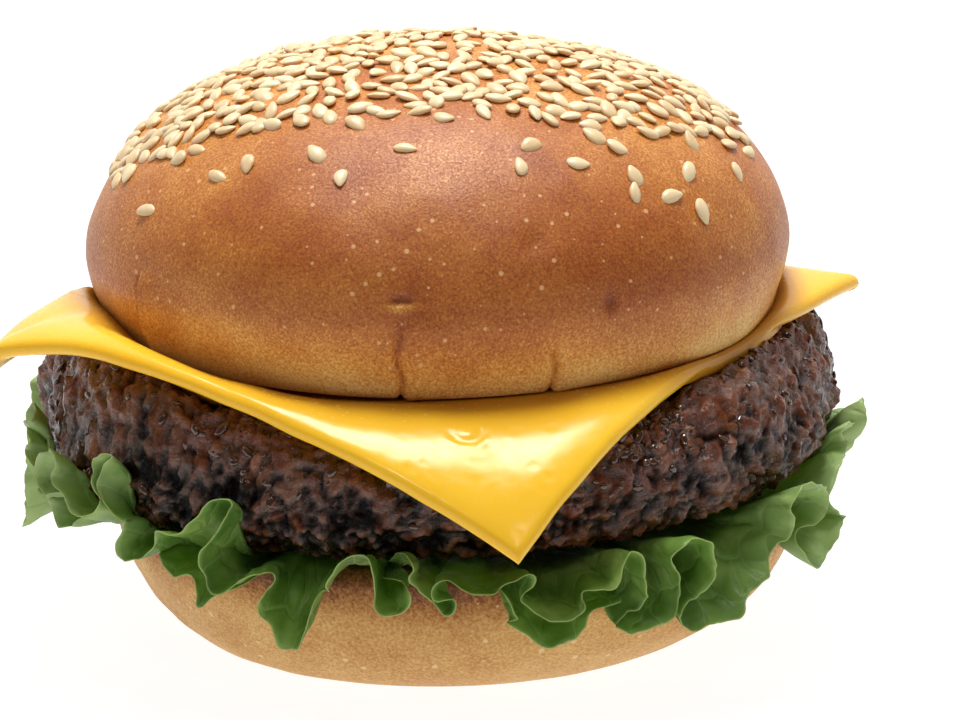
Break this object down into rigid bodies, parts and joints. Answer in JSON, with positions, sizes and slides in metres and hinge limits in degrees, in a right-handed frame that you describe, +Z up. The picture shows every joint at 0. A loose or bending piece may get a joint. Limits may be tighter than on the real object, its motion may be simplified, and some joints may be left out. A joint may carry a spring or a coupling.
{
  "type": "cheeseburger",
  "caption": "Cheeseburger: seeded bun crown, drooping square cheese slice, thick beef patty, frilled green lettuce and bun heel.",
  "frame": {"origin": "centre of the flat spot under the bun heel that the burger stands on", "axes": "+Z up through the layers, -Y towards the side that the long front corner of the cheese slice hangs over, +X to the right of it"},
  "size_m": [0.1256, 0.1263, 0.0811],
  "materials": {
    "heel_crust": "matte pale baked crust",
    "crown_crust": "satin golden-brown baked crust",
    "beef": "coarse seared ground beef, wet with fat",
    "cheese": "smooth glossy process cheese",
    "lettuce": "waxy green leaf with pale veins and edge",
    "sesame": "hulled sesame seed, satin"
  },
  "bodies": {
    "root": {"bun_heel": "heel_crust", "lettuce_left": "lettuce", "lettuce_right": "lettuce", "beef_patty": "beef", "cheese_slice": "cheese", "bun_crown": "crown_crust"}
  },
  "joints": []
}
